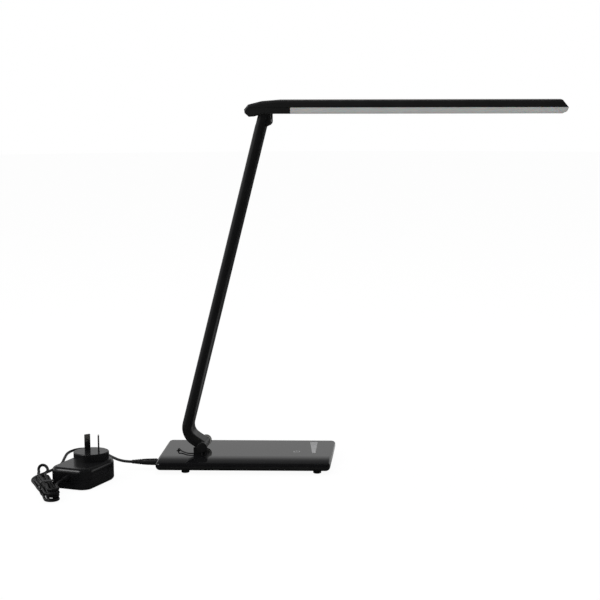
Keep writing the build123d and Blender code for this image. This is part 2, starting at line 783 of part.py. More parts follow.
# The head's places follow from the upper pivot
head_start_x = upper_pivot.X - head_back
head_tip_x = head_start_x + head_length
head_top = upper_pivot.Z + head_rise
head_seam_z = head_top - head_seam_drop
head_bottom = head_top - head_depth
head_tail_low = head_top - head_tail_depth
diffuser_start_x = head_start_x + diffuser_start
well_x = (upper_pivot.X - well_reach[0], upper_pivot.X + well_reach[1])
carrier_z = head_top - carrier_drop
cheek_top_z = head_seam_z - 1.6
tail_screw_x = diffuser_start_x - tail_screw_inset
tail_screw_places = [(tail_screw_x, -tail_screw_y), (tail_screw_x, tail_screw_y)]

# The head's shells share one form
with BuildPart() as head_form:
    with BuildSketch(Plane.XZ) as head_outline:
        with BuildLine():
            Polyline(
                (head_start_x + 0.6, head_bottom + 0.8),
                (head_start_x, head_seam_z - 2.0),
                (head_start_x + 4.3, head_seam_z + 3.1),
                (head_start_x + 16.0, head_top - 1.6),
                (head_start_x + 36.0, head_top),
                (head_tip_x - 6.5, head_top),
                (head_tip_x, head_seam_z - 0.4),
                (head_tip_x - 2.0, head_bottom + 2.2),
                (head_tip_x - 7.0, head_bottom),
                (head_start_x + 20.5, head_bottom),
                (head_start_x + 10.5, head_tail_low + 0.3),
                (head_start_x + 5.0, head_tail_low),
                close=True,
            )
        make_face()
    extrude(amount=head_width / 2, both=True)
    sides = head_form.faces().filter_by(Axis.Y)
    fillet(sides.edges(), head_edge_round)

head_inner_width = head_width - 2 * head_wall
head_ceiling = head_top - head_wall
upper_x = upper_pivot.X
upper_z = upper_pivot.Z
tail_end_x = diffuser_start_x - diffuser_gap
carrier_x = (diffuser_start_x + carrier_end_gap, head_tip_x - 2 * carrier_end_gap)
carrier_length = carrier_x[1] - carrier_x[0]
carrier_middle = sum(carrier_x) / 2
carrier_top = carrier_z + carrier_thickness
screw_pitch = carrier_length / carrier_screw_count

with BuildPart() as head_housing:
    add(head_form.part)
    split(bisect_by=Plane.XY.offset(head_seam_z + seam_gap / 2), keep=Keep.TOP)
    with BuildSketch(Plane.XZ):
        with BuildLine():
            Polyline(
                (head_start_x + 4.0, head_seam_z),
                (head_start_x + 6.0, head_seam_z + 1.6),
                (head_start_x + 20.0, head_ceiling - 1.0),
                (head_start_x + 30.0, head_ceiling),
                (head_tip_x - 8.4, head_ceiling),
                (head_tip_x - 3.2, head_seam_z),
                close=True,
            )
        make_face()
    extrude(amount=head_inner_width / 2, both=True, mode=Mode.SUBTRACT)
    # bosses for the carrier's screws
    with BuildSketch(Plane.XY.offset(carrier_top)):
        with Locations((carrier_middle, 0)):
            with GridLocations(screw_pitch, 2 * carrier_screw_y, carrier_screw_count, 2):
                Circle(2.4)
    extrude(amount=head_ceiling - carrier_top)
    with BuildSketch(Plane.XY.offset(carrier_top)):
        with Locations((carrier_middle, 0)):
            with GridLocations(screw_pitch, 2 * carrier_screw_y, carrier_screw_count, 2):
                Circle(carrier_screw_radius + screw_clearance)
    extrude(amount=head_ceiling - carrier_top, mode=Mode.SUBTRACT)
    # bosses for the tail cover's screws
    with BuildSketch(Plane.XY.offset(head_seam_z + seam_gap / 2)):
        with Locations(*tail_screw_places):
            Circle(2.6)
    extrude(amount=head_ceiling - head_seam_z)
    with BuildSketch(Plane.XY.offset(head_seam_z)):
        with Locations(*tail_screw_places):
            Circle(carrier_screw_radius + screw_clearance)
    extrude(amount=4.5, mode=Mode.SUBTRACT)
save(head_housing, "head_housing")

with BuildPart() as head_tail_cover:
    add(head_form.part)
    split(bisect_by=Plane.XY.offset(head_seam_z - seam_gap / 2), keep=Keep.BOTTOM)
    split(bisect_by=Plane.YZ.offset(tail_end_x), keep=Keep.BOTTOM)
    # room inside, open to the housing above
    with BuildSketch(Plane.XZ):
        with BuildLine():
            Polyline(
                (head_start_x + 2.4, head_seam_z),
                (head_start_x + 2.4, head_bottom + 1.6),
                (head_start_x + 8.0, head_bottom + 0.4),
                (head_start_x + 19.0, head_bottom + head_wall),
                (tail_end_x - head_wall, head_bottom + head_wall),
                (tail_end_x - head_wall, head_seam_z),
                close=True,
            )
        make_face()
    extrude(amount=head_inner_width / 2, both=True, mode=Mode.SUBTRACT)
    # well for the top of the arm
    with BuildSketch(Plane.XY.offset(head_tail_low - 1.0)):
        with Locations((sum(well_x) / 2, 0)):
            Rectangle(well_x[1] - well_x[0], head_width - 2 * cheek_thickness)
    extrude(amount=head_seam_z - head_tail_low + 1.0, mode=Mode.SUBTRACT)
    # cheeks that carry the upper axle, on ribs that bridge the well
    for outer in (upper_cheek_inner + cheek_thickness, -upper_cheek_inner):
        with BuildSketch(across(outer)):
            with Locations((upper_x, (upper_z + cheek_top_z) / 2)):
                Rectangle(2 * cheek_radius, cheek_top_z - upper_z)
            with Locations((upper_x, upper_z)):
                Circle(cheek_radius)
            with Locations((sum(well_x) / 2, (head_bottom + cheek_top_z) / 2 + 0.3)):
                Rectangle(well_x[1] - well_x[0] + 5.0, cheek_top_z - head_bottom - 0.6)
        extrude(amount=cheek_thickness)
    with BuildSketch(across(head_width / 2)):
        with Locations((upper_x, upper_z)):
            Circle(upper_axle_radius + axle_clearance)
    extrude(amount=head_width, mode=Mode.SUBTRACT)
    # screw posts under the housing's bosses
    with BuildSketch(Plane.XY.offset(head_bottom + head_wall)):
        with Locations(*tail_screw_places):
            Circle(2.6)
    extrude(amount=head_seam_z - seam_gap / 2 - head_bottom - head_wall)
    with BuildSketch(Plane.XY.offset(head_bottom)):
        with Locations(*tail_screw_places):
            Circle(carrier_screw_radius + screw_clearance)
    extrude(amount=head_seam_z - head_bottom, mode=Mode.SUBTRACT)
    with BuildSketch(Plane.XY.offset(head_bottom)):
        with Locations(*tail_screw_places):
            Circle(2.2)
    extrude(amount=1.6, mode=Mode.SUBTRACT)
save(head_tail_cover, "head_tail_cover")

with BuildPart() as tail_screws:
    with BuildSketch(Plane.XY.offset(head_bottom + 0.3)):
        with Locations(*tail_screw_places):
            Circle(2.1)
    extrude(amount=1.3)
    with BuildSketch(Plane.XY.offset(head_bottom + 0.3)):
        with Locations(*tail_screw_places):
            Circle(carrier_screw_radius)
    extrude(amount=9.8)
    with BuildSketch(Plane.XY.offset(head_bottom + 0.3)):
        with Locations(*tail_screw_places):
            Rectangle(2.4, 0.6)
            Rectangle(0.6, 2.4)
    extrude(amount=0.7, mode=Mode.SUBTRACT)
save(tail_screws, "tail_screws")

with BuildPart() as diffuser:
    add(head_form.part)
    split(bisect_by=Plane.XY.offset(head_seam_z - seam_gap / 2), keep=Keep.BOTTOM)
    split(bisect_by=Plane.YZ.offset(diffuser_start_x), keep=Keep.TOP)
    lip_outer = head_inner_width - 2 * screw_clearance
    lip_end = head_tip_x - 6.5
    with BuildSketch(Plane.XY.offset(head_seam_z - 2.0)):
        with Locations(((diffuser_start_x + lip_end) / 2, 0)):
            Rectangle(lip_end - diffuser_start_x, lip_outer)
    extrude(amount=2.0 + diffuser_lip_height)
    with BuildSketch(Plane.XY.offset(head_bottom + diffuser_wall)):
        with Locations(((diffuser_start_x + lip_end) / 2, 0)):
            Rectangle(lip_end - diffuser_start_x - 2 * diffuser_lip, lip_outer - 2 * diffuser_lip)
    extrude(amount=head_top - head_bottom, mode=Mode.SUBTRACT)
save(diffuser, "diffuser")

with BuildPart() as led_carrier:
    with BuildSketch(Plane.XY.offset(carrier_z)):
        with Locations((carrier_middle, 0)):
            Rectangle(carrier_length, carrier_width)
    extrude(amount=carrier_thickness)
    with BuildSketch(Plane.XY.offset(carrier_top)):
        with Locations((carrier_middle, 0)):
            with GridLocations(1, carrier_width - carrier_thickness, 1, 2):
                Rectangle(carrier_length, carrier_thickness)
    extrude(amount=carrier_flange)
    with BuildSketch(Plane.XY.offset(carrier_z)):
        with Locations((carrier_middle, 0)):
            with GridLocations(screw_pitch, 2 * carrier_screw_y, carrier_screw_count, 2):
                Circle(carrier_screw_radius + screw_clearance)
    extrude(amount=carrier_thickness, mode=Mode.SUBTRACT)
save(led_carrier, "led_carrier")

with BuildPart() as carrier_screws:
    with BuildSketch(Plane.XY.offset(carrier_z - 1.0)):
        with Locations((carrier_middle, 0)):
            with GridLocations(screw_pitch, 2 * carrier_screw_y, carrier_screw_count, 2):
                Circle(2.0)
    extrude(amount=1.0)
    with BuildSketch(Plane.XY.offset(carrier_z)):
        with Locations((carrier_middle, 0)):
            with GridLocations(screw_pitch, 2 * carrier_screw_y, carrier_screw_count, 2):
                Circle(carrier_screw_radius)
    extrude(amount=head_ceiling - carrier_z - 0.3)
save(carrier_screws, "carrier_screws")

with BuildPart() as led_board:
    with BuildSketch(Plane.XY.offset(carrier_z - led_board_thickness)):
        with Locations((carrier_middle, 0)):
            Rectangle(carrier_length - 2.0, led_board_width)
    extrude(amount=led_board_thickness)
save(led_board, "led_board")

with BuildPart() as leds:
    with BuildSketch(Plane.XY.offset(carrier_z - led_board_thickness - led_size[2])):
        with Locations((carrier_middle, 0)):
            with GridLocations(carrier_length / led_count, 1, led_count, 1):
                Rectangle(led_size[0], led_size[1])
    extrude(amount=led_size[2])
save(leds, "leds")

with BuildPart() as head_wire:
    wire_z = carrier_z + 0.3
    with BuildLine() as head_wire_line:
        FilletPolyline(
            (diffuser_start_x - 22.0, 0, head_bottom + 4.8),
            (diffuser_start_x - 14.0, 0, head_bottom + 4.8),
            (diffuser_start_x - 6.0, 4.0, wire_z),
            (diffuser_start_x + 2.0, 4.0, wire_z),
            (carrier_x[0] + 0.6, 4.0, wire_z - 1.3),
            radius=2.5,
        )
    with BuildSketch(Plane(origin=head_wire_line.line @ 0, z_dir=head_wire_line.line % 0)):
        Circle(0.9)
    sweep(path=head_wire_line.line)
save(head_wire, "head_wire")

# Upper hinge
cheek_outer = upper_cheek_inner + cheek_thickness
with BuildPart() as upper_axle:
    with BuildSketch(across(cheek_outer + upper_head_height)):
        with Locations((upper_x, upper_z)):
            Circle(upper_axle_radius)
    extrude(amount=2 * cheek_outer + upper_head_height)
    with BuildSketch(across(-cheek_outer)):
        with Locations((upper_x, upper_z)):
            Circle(upper_head_radius)
    extrude(amount=upper_head_height)
    fillet(upper_axle.faces().sort_by(Axis.Y)[0].edges(), 0.4)
save(upper_axle, "upper_axle")

with BuildPart() as upper_retainer:
    with BuildSketch(across(cheek_outer + upper_head_height)):
        with Locations((upper_x, upper_z)):
            Circle(upper_head_radius)
            Circle(upper_axle_radius + axle_clearance, mode=Mode.SUBTRACT)
    extrude(amount=upper_head_height)
save(upper_retainer, "upper_retainer")

with BuildPart() as upper_washers:
    gap = upper_cheek_inner - upper_knuckle_width / 2
    for outer in (upper_cheek_inner - 0.05, -upper_knuckle_width / 2 - 0.05):
        with BuildSketch(across(outer)):
            with Locations((upper_x, upper_z)):
                Circle(upper_knuckle_radius - 0.4)
                Circle(upper_axle_radius + axle_clearance, mode=Mode.SUBTRACT)
        extrude(amount=gap - 0.1)
save(upper_washers, "upper_washers")

# Lead that comes out of the base and goes into the front ear of the hinge
with BuildPart() as lead_grommet:
    with BuildSketch(Plane.XY.offset(ceiling_z)):
        with Locations(grommet_at):
            Circle(grommet_radius)
    extrude(amount=cover_ceiling)
    with BuildSketch(Plane.XY.offset(base_top)):
        with Locations(grommet_at):
            Circle(grommet_flange)
    extrude(amount=grommet_rise)
    fillet(lead_grommet.faces().sort_by(Axis.Z)[-1].edges(), 0.3)
    with BuildSketch(Plane.XY.offset(ceiling_z)):
        with Locations(grommet_at):
            Circle(lead_radius + axle_clearance)
    extrude(amount=cover_ceiling + grommet_rise, mode=Mode.SUBTRACT)
save(lead_grommet, "lead_grommet")

ear_face_x = neck_x - ear_neck / 2
ear_middle_y = -(ear_inner + ear_outer) / 2
lead_route = [
    (grommet_at[0], grommet_at[1], ceiling_z + 0.5),
    (grommet_at[0], grommet_at[1], base_top + 3.0),
    (grommet_at[0] + 5.0, grommet_at[1] - 8.0, base_top + 1.1),
    (ear_face_x - 6.0, ear_middle_y, base_top + 1.1),
    (ear_face_x, ear_middle_y, base_top + 1.1),
]
with BuildPart() as base_lead:
    with BuildLine() as lead_line:
        FilletPolyline(*lead_route, radius=corner_radii(lead_route))
    with BuildSketch(Plane(origin=lead_line.line @ 0, z_dir=lead_line.line % 0)):
        Circle(lead_radius)
    sweep(path=lead_line.line)
report_tube("base_lead", base_lead, lead_line.wire(), lead_radius)
save(base_lead, "base_lead")

# Wall adapter. Its own x runs from the pins to the cord's end.
adapter_way = Vector(cos(radians(adapter_turn)), sin(radians(adapter_turn)), 0)
adapter_plane = Plane(origin=(*adapter_at, 0), x_dir=adapter_way, z_dir=(0, 0, 1))


with BuildPart() as adapter_form:
    with BuildSketch(adapter_plane) as adapter_sketch:
        Circle(adapter_half_width)
        with Locations((adapter_reach / 2, 0)):
            Rectangle(adapter_reach, 2 * adapter_half_width)
        square_end = adapter_sketch.vertices().sort_by(Axis.X)[-2:]
        fillet(square_end, adapter_corner)
    extrude(amount=adapter_height)
    fillet(adapter_form.faces().sort_by(Axis.Z)[-1].edges(), adapter_top_round)
    fillet(adapter_form.faces().sort_by(Axis.Z)[0].edges(), adapter_under_round)
    with BuildSketch(adapter_plane.offset(adapter_height - adapter_top_round)):
        Circle(plug_boss_radius)
    extrude(amount=plug_boss_top - adapter_height + adapter_top_round)
    boss_rim = adapter_form.edges().filter_by(GeomType.CIRCLE).sort_by(Axis.Z)[-1]
    fillet(boss_rim, 1.0)

with BuildPart() as adapter_room:
    with BuildSketch(adapter_plane.offset(adapter_wall)) as room_sketch:
        Circle(adapter_half_width - adapter_wall)
        with Locations(((adapter_reach - adapter_wall) / 2, 0)):
            Rectangle(adapter_reach - adapter_wall, 2 * (adapter_half_width - adapter_wall))
        room_end = room_sketch.vertices().sort_by(Axis.X)[-2:]
        fillet(room_end, adapter_corner - adapter_wall)
    extrude(amount=adapter_height - 2 * adapter_wall)
    with BuildSketch(adapter_plane.offset(adapter_height - adapter_wall)):
        Circle(plug_boss_radius - adapter_wall)
    extrude(amount=plug_boss_top - adapter_height)

pin_places = [
    (Location((-pin_forward, side * pin_side), side * pin_splay)) for side in (-1, 1)
]
relief_tip_x = adapter_reach + relief_length

with BuildPart() as adapter_lower_shell:
    add(adapter_form.part)
    add(adapter_room.part, mode=Mode.SUBTRACT)
    split(bisect_by=Plane.XY.offset(adapter_split_z - seam_gap / 2), keep=Keep.BOTTOM)
    with BuildSketch(Plane(origin=adapter_plane.from_local_coords((0, 0, relief_z)), z_dir=adapter_way)):
        Circle(relief_radii[0] - 0.6)
    extrude(amount=adapter_reach + 1.0, mode=Mode.SUBTRACT)
save(adapter_lower_shell, "adapter_lower_shell")

with BuildPart() as adapter_upper_shell:
    add(adapter_form.part)
    add(adapter_room.part, mode=Mode.SUBTRACT)
    split(bisect_by=Plane.XY.offset(adapter_split_z + seam_gap / 2), keep=Keep.TOP)
    with BuildSketch(Plane(origin=adapter_plane.from_local_coords((0, 0, relief_z)), z_dir=adapter_way)):
        Circle(relief_radii[0] - 0.6)
    extrude(amount=adapter_reach + 1.0, mode=Mode.SUBTRACT)
    with BuildSketch(adapter_plane.offset(plug_boss_top - adapter_wall)):
        with Locations(*pin_places):
            Rectangle(pin_width + 0.1, pin_thickness + 0.1)
    extrude(amount=adapter_wall, mode=Mode.SUBTRACT)
save(adapter_upper_shell, "adapter_upper_shell")

pin_foot_z = plug_boss_top - adapter_wall - 5.0
sleeve_top_z = plug_boss_top + sleeve_height
with BuildPart() as plug_pins:
    with BuildSketch(adapter_plane.offset(sleeve_top_z)):
        with Locations(*pin_places):
            Rectangle(pin_width, pin_thickness)
    extrude(amount=pin_height - sleeve_height)
    tips = plug_pins.faces().filter_by(Axis.Z).group_by(Axis.Z)[-1]
    chamfer(tips.edges(), 0.45)
    with BuildSketch(adapter_plane.offset(pin_foot_z)):
        with Locations(*pin_places):
            Rectangle(pin_width - 2 * sleeve_wall, pin_thickness - 2 * sleeve_wall)
    extrude(amount=sleeve_top_z - pin_foot_z)
save(plug_pins, "plug_pins")

with BuildPart() as pin_sleeves:
    with BuildSketch(adapter_plane.offset(plug_boss_top - adapter_wall)):
        with Locations(*pin_places):
            Rectangle(pin_width, pin_thickness)
            Rectangle(pin_width - 2 * sleeve_wall, pin_thickness - 2 * sleeve_wall, mode=Mode.SUBTRACT)
    extrude(amount=adapter_wall + sleeve_height)
save(pin_sleeves, "pin_sleeves")

adapter_board_length = adapter_reach + 4.5
adapter_board_width = 2 * adapter_half_width - 9.0
adapter_board_x = (adapter_reach - 15.5) / 2
adapter_board_z = adapter_wall + 2.4
adapter_parts_z = adapter_board_z + 1.6
with BuildPart() as adapter_board:
    with BuildSketch(adapter_plane.offset(adapter_board_z)) as board_sketch:
        with Locations((adapter_board_x, 0)):
            Rectangle(adapter_board_length, adapter_board_width)
        fillet(board_sketch.vertices(), 6)
    extrude(amount=1.6)
    with BuildSketch(adapter_plane.offset(adapter_wall)):
        with Locations((adapter_board_x - 2.0, 0)):
            with GridLocations(adapter_board_length - 12.0, adapter_board_width - 10.0, 2, 2):
                Circle(2.0)
    extrude(amount=2.4)
save(adapter_board, "adapter_board")

with BuildPart() as adapter_transformer:
    with BuildSketch(adapter_plane.offset(adapter_parts_z)):
        with Locations((14.0, 4.0)):
            Rectangle(16.0, 18.0)
    extrude(amount=11.0)
    fillet(adapter_transformer.edges().filter_by(Axis.Z), 1.5)
save(adapter_transformer, "adapter_transformer")

with BuildPart() as adapter_capacitors:
    with BuildSketch(adapter_plane.offset(adapter_parts_z)):
        with Locations((32.0, 10.0), (34.0, -4.0)):
            Circle(4.0)
    extrude(amount=11.5)
    with BuildSketch(adapter_plane.offset(adapter_parts_z)):
        with Locations((-2.0, -11.0)):
            Circle(5.0)
    extrude(amount=11.0)
save(adapter_capacitors, "adapter_capacitors")

relief_start = adapter_plane.from_local_coords((adapter_reach, 0, relief_z))
relief_tip = adapter_plane.from_local_coords((relief_tip_x, 0, relief_z))
with BuildPart() as adapter_strain_relief:
    with BuildSketch(Plane(origin=relief_start, z_dir=adapter_way)):
        Circle(relief_radii[0])
    with BuildSketch(Plane(origin=relief_tip, z_dir=adapter_way)):
        Circle(relief_radii[1])
    loft()
    with BuildSketch(Plane(origin=relief_start, z_dir=adapter_way)):
        Circle(relief_radii[0] - 0.7)
    extrude(amount=-adapter_wall - 1.0)
save(adapter_strain_relief, "adapter_strain_relief")

# The hank. Its own x runs along it to the far end, its own y to the left.
hank_plane = Plane(
    origin=(*hank_at, 0),
    x_dir=(cos(radians(hank_turn)), sin(radians(hank_turn)), 0),
    z_dir=(0, 0, 1),
)


def hank_point(x, y, z):
    """A point of the hank in the lamp's frame."""
    return hank_plane.from_local_coords(Vector(x, y, z))


def hank_way(x, y, z=0.0):
    """A direction of the hank in the lamp's frame, of length one."""
    return (hank_point(x, y, z) - hank_point(0, 0, 0)).normalized()


def biarc(start, start_way, end, end_way):
    """Draws two arcs that meet smoothly, from start to end with the given directions."""
    chord = end - start
    together = start_way + end_way
    slack = 2 * (1 - start_way.dot(end_way))
    reach = chord.dot(together)
    if chord.normalized().cross(start_way).length < 1e-6 and slack < 1e-6:
        Line(start, end)
        return
    if slack < 1e-6:
        arm = chord.dot(chord) / (4 * chord.dot(end_way))
    else:
        arm = ((reach**2 + slack * chord.dot(chord)) ** 0.5 - reach) / slack
    first = start + start_way * arm
    second = end - end_way * arm
    middle = (first + second) * 0.5
    TangentArc(start, middle, tangent=start_way)
    TangentArc(middle, end, tangent=second - first)


def hank_runs():
    """Each run's offset to one side and its layer at both ends, in the order the cord takes."""
    offsets = [hank_inner_offset + k * hank_offset_step for k in range(4)]
    runs = [(offsets[3], 0, 0)]
    for low in (0, 2):
        runs += [(offsets[2], low, low), (offsets[1], low, low)]
        runs += [(offsets[0], low, low + 1)]
        runs += [(offsets[1], low + 1, low + 1), (offsets[2], low + 1, low + 1)]
        if low == 0:
            runs += [(offsets[3], 1, 2)]
    return runs


def hank_route():
    """Draws the whole hank as one line: runs drawn in at the waist, and a half turn at each end."""
    runs = hank_runs()
    last = len(runs) - 1
    ring_left = hank_loose_width / 2 - hank_loose_shift
    ring_right = ring_left - hank_loose_width
    for number, (offset, low, high) in enumerate(runs):
        side = 1 if number % 2 == 0 else -1
        way = hank_way(-side, 0)
        z_start = hank_first_z + low * hank_layer_step
        z_end = hank_first_z + high * hank_layer_step
        before = hank_far_reach[low] if side == 1 else -hank_near_reach[low]
        after = -hank_near_reach[high] if side == 1 else hank_far_reach[high]
        if number == 0:
            before = hank_start_x
        start = hank_point(before, side * offset, z_start)
        if number == last:
            Line(start, hank_point(hank_exit_x, side * offset, z_start))
            continue
        if number == last - 1:
            biarc(hank_point(hank_loose_reach, ring_left, z_start), way, start, way)
        waist = hank_point(hank_waist_x, side * (offset - hank_waist_draw), (z_start + z_end) / 2)
        end = hank_point(after, side * offset, z_end)
        climb = hank_way(after - before, 0, z_end - z_start)
        biarc(start, way, waist, climb)
        biarc(waist, climb, end, way)
        leaves, enters = side * offset, -side * runs[number + 1][0]
        if number == last - 2:
            after, leaves, enters = hank_loose_reach, ring_right, ring_left
            biarc(end, way, hank_point(after, leaves, z_end), way)
            end = hank_point(after, leaves, z_end)
        apex_z = z_end + hank_loose_rise if number == last - 2 else z_end
        apex = hank_point(after - side * abs(enters - leaves) / 2, (leaves + enters) / 2, apex_z)
        round_end = hank_point(after, enters, z_end)
        biarc(end, way, apex, hank_way(0, -side))
        biarc(apex, hank_way(0, -side), round_end, way * -1)


def least_gap(line, radius, step=1.2):
    """The least clear distance between stretches of a line that are well apart along it."""
    count = int(line.length / step)
    points = [line.position_at(k / count) for k in range(count + 1)]
    apart = int(5 * radius / step) + 2
    nearest = 1e9
    for k, point in enumerate(points):
        for other in points[k + apart :]:
            if abs(point.X - other.X) < nearest and abs(point.Y - other.Y) < nearest:
                nearest = min(nearest, (point - other).length)
    return nearest - 2 * radius


with BuildPart() as cord_hank:
    with BuildLine() as hank_line:
        hank_route()
    with BuildSketch(Plane(origin=hank_line.line @ 0, z_dir=hank_line.line % 0)):
        Circle(cord_diameter / 2)
    sweep(path=hank_line.wire())
report_tube("cord_hank", cord_hank, hank_line.wire(), cord_diameter / 2)
print(f"cord_hank: least gap to itself {least_gap(hank_line.wire(), cord_diameter / 2):.2f}")
save(cord_hank, "cord_hank")

hank_start = hank_line.wire() @ 0
hank_end = hank_line.wire() @ 1
hank_along = hank_way(1, 0)
lead_in = hank_start + hank_along * 14.0

# The cord from the plug in the base lies on the table behind the adapter
cord_route = [
    (plug_rear_x, jack_y, jack_z),
    (plug_rear_x - 11.0, jack_y, jack_z),
    (plug_rear_x - 31.9, jack_y + 32.5, 7.2),
    (-163.0, 30.0, 1.9),
    (-180.0, 52.0, 1.6),
    (-199.0, 56.0, 1.7),
    (-209.5, 39.0, 1.6),
    (-207.5, 11.0, 1.7),
    (-204.0, -18.0, 1.6),
    (-209.0, -48.0, 1.6),
    (-224.0, -84.0, 1.9),
    tuple(lead_in),
    tuple(hank_start),
]
adapter_route = [
    tuple(hank_end),
    tuple(hank_end + hank_along * 7.5),
    tuple(relief_tip + adapter_way * 6.0),
    tuple(relief_tip),
]

for name, route in (("cord_to_lamp", cord_route), ("cord_to_adapter", adapter_route)):
    with BuildPart() as free_cord:
        with BuildLine() as free_line:
            FilletPolyline(*route, radius=corner_radii(route))
        with BuildSketch(Plane(origin=free_line.line @ 0, z_dir=free_line.line % 0)):
            Circle(cord_diameter / 2)
        sweep(path=free_line.line)
    print(name, "radii", [round(radius, 1) for radius in corner_radii(route)])
    report_tube(name, free_cord, free_line.wire(), cord_diameter / 2)
    save(free_cord, name)

# A flat tie round the hank's waist
tie_left = hank_inner_offset + 3 * hank_offset_step - hank_waist_draw + cord_diameter / 2 + tie_gap
tie_right = tie_left - hank_offset_step
tie_low = hank_first_z - cord_diameter / 2 - tie_gap
tie_high = hank_first_z + 3 * hank_layer_step + cord_diameter / 2 + tie_gap
tie_plane = Plane(
    origin=hank_point(hank_waist_x - tie_width / 2, (tie_left - tie_right) / 2, (tie_low + tie_high) / 2),
    x_dir=hank_way(0, 1),
    z_dir=hank_way(1, 0),
)
with BuildPart() as hank_tie:
    with BuildSketch(tie_plane):
        inner_radius = cord_diameter / 2 + tie_gap
        RectangleRounded(
            tie_left + tie_right + 2 * tie_thickness,
            tie_high - tie_low + 2 * tie_thickness,
            inner_radius + tie_thickness,
        )
        RectangleRounded(tie_left + tie_right, tie_high - tie_low, inner_radius, mode=Mode.SUBTRACT)
    extrude(amount=tie_width)
save(hank_tie, "hank_tie")
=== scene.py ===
import json
from math import cos, pi, radians, sin

import bmesh
import bpy
from mathutils import Matrix, Vector


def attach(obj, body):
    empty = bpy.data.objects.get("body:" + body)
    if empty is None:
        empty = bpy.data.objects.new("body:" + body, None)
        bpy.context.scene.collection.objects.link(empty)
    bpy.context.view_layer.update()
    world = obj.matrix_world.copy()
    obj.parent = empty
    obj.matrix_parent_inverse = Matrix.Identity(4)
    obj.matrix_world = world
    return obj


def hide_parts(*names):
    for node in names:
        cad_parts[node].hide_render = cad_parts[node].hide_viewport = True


# LED desk lamp with its wall adapter. Blender works in metres. The cord's route repeats points
# of part.py, in millimetres. Both share one frame, whose origin is the middle of the base's
# footprint on the table.

MM = 0.001

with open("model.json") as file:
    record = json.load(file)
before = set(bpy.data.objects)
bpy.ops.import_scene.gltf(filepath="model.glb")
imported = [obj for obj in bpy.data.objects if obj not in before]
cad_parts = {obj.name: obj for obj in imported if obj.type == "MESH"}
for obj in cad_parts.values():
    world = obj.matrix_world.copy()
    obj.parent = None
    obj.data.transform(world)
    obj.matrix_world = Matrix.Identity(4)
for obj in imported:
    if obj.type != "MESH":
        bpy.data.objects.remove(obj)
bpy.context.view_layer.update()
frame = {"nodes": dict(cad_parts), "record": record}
nodes = frame["nodes"]
scene = bpy.context.scene
collection = scene.collection


# ---------------------------------------------------------------- camera

CAMERA_AT = (0.20088, -1.81787, 0.45068)
CAMERA_YAW, CAMERA_PITCH, CAMERA_ROLL = radians(1.95), radians(8.37), radians(-0.17)
FOCAL_LENGTH, SENSOR_WIDTH = 100.8, 36.0
SIDEWAYS_SHIFT = -0.12
FAR_CLIP = 50.0


def camera_turn(yaw, pitch, roll):
    """The camera's rotation: turned about the vertical, tipped down, then rolled."""
    ahead = Vector((-sin(yaw) * cos(pitch), cos(yaw) * cos(pitch), -sin(pitch)))
    level_right = Vector((cos(yaw), sin(yaw), 0))
    level_up = level_right.cross(ahead)
    right = level_right * cos(roll) + level_up * sin(roll)
    up = level_up * cos(roll) - level_right * sin(roll)
    return Matrix((right, up, -ahead)).transposed().to_4x4()


lens = bpy.data.cameras.new("camera")
lens.sensor_width = SENSOR_WIDTH
lens.lens = FOCAL_LENGTH
lens.shift_x = SIDEWAYS_SHIFT
lens.clip_end = FAR_CLIP
camera = bpy.data.objects.new("camera", lens)
collection.objects.link(camera)
turn = camera_turn(CAMERA_YAW, CAMERA_PITCH, CAMERA_ROLL)
camera.matrix_world = Matrix.Translation(CAMERA_AT) @ turn
scene.camera = camera


# ---------------------------------------------------------------- cord

CORD_DIAMETER = 3.0

# From the plug in the base round to the hank
PLUG_END = (-123.6, -32.0, 8.2)
LAMP_ROUTE = [
    PLUG_END,
    (-134.6, -32.0, 8.2),
    (-155.5, 0.5, 7.2),
    (-163.0, 30.0, 1.9),
    (-180.0, 52.0, 1.6),
    (-199.0, 56.0, 1.7),
    (-209.5, 39.0, 1.6),
    (-207.5, 11.0, 1.7),
    (-204.0, -18.0, 1.6),
    (-209.0, -48.0, 1.6),
    (-224.0, -84.0, 1.9),
]

# The hank's place, and its runs' places: four layers, and four offsets from the middle
HANK_AT = Vector((-194.0, -135.0, 0))
HANK_TURN = radians(111.5)
HANK_ALONG = Vector((cos(HANK_TURN), sin(HANK_TURN), 0))
HANK_LEFT = Vector((-sin(HANK_TURN), cos(HANK_TURN), 0))
FIRST_Z, LAYER_STEP = 2.5, 3.45
OFFSETS = [2.5 + 1.73 * k for k in range(4)]
NEAR_REACH, FAR_REACH = (35.0, 33.5, 36.0, 34.5), (33.0, 34.5, 31.5, 33.0)
TURN_STEPS = 7

# The waist where the tie draws the runs in, and the points on each side of it
WAIST_X, WAIST_DRAW = -8.0, 1.5
BEFORE_WAIST, AFTER_WAIST, SIDE_DRAW = 0.45, 0.55, 0.4

# Where the cord enters and leaves the hank, and the loose loop at its far end
START_X, EXIT_X = 14.0, -28.0
LEAD_IN, LEAD_OUT = 14.0, 7.5
RING_X, RING_LEFT, RING_RIGHT, RING_RISE = 47.0, 1.6, -8.2, 4.5
RING_NECK, RING_LEAVE_DRAW, RING_ENTER_DRAW = 7, 1.4, 0.6

# The adapter and the tip of its strain relief
ADAPTER_AT = Vector((-159.2, -75.8, 0))
ADAPTER_TURN = radians(250.5)
ADAPTER_WAY = Vector((cos(ADAPTER_TURN), sin(ADAPTER_TURN), 0))
ADAPTER_REACH = 49.0
RELIEF_Z, RELIEF_LENGTH, RELIEF_LEAD = 12.4, 8.0, 6.0
RELIEF_START = ADAPTER_AT + ADAPTER_WAY * ADAPTER_REACH + Vector((0, 0, RELIEF_Z))
RELIEF_TIP = RELIEF_START + ADAPTER_WAY * RELIEF_LENGTH


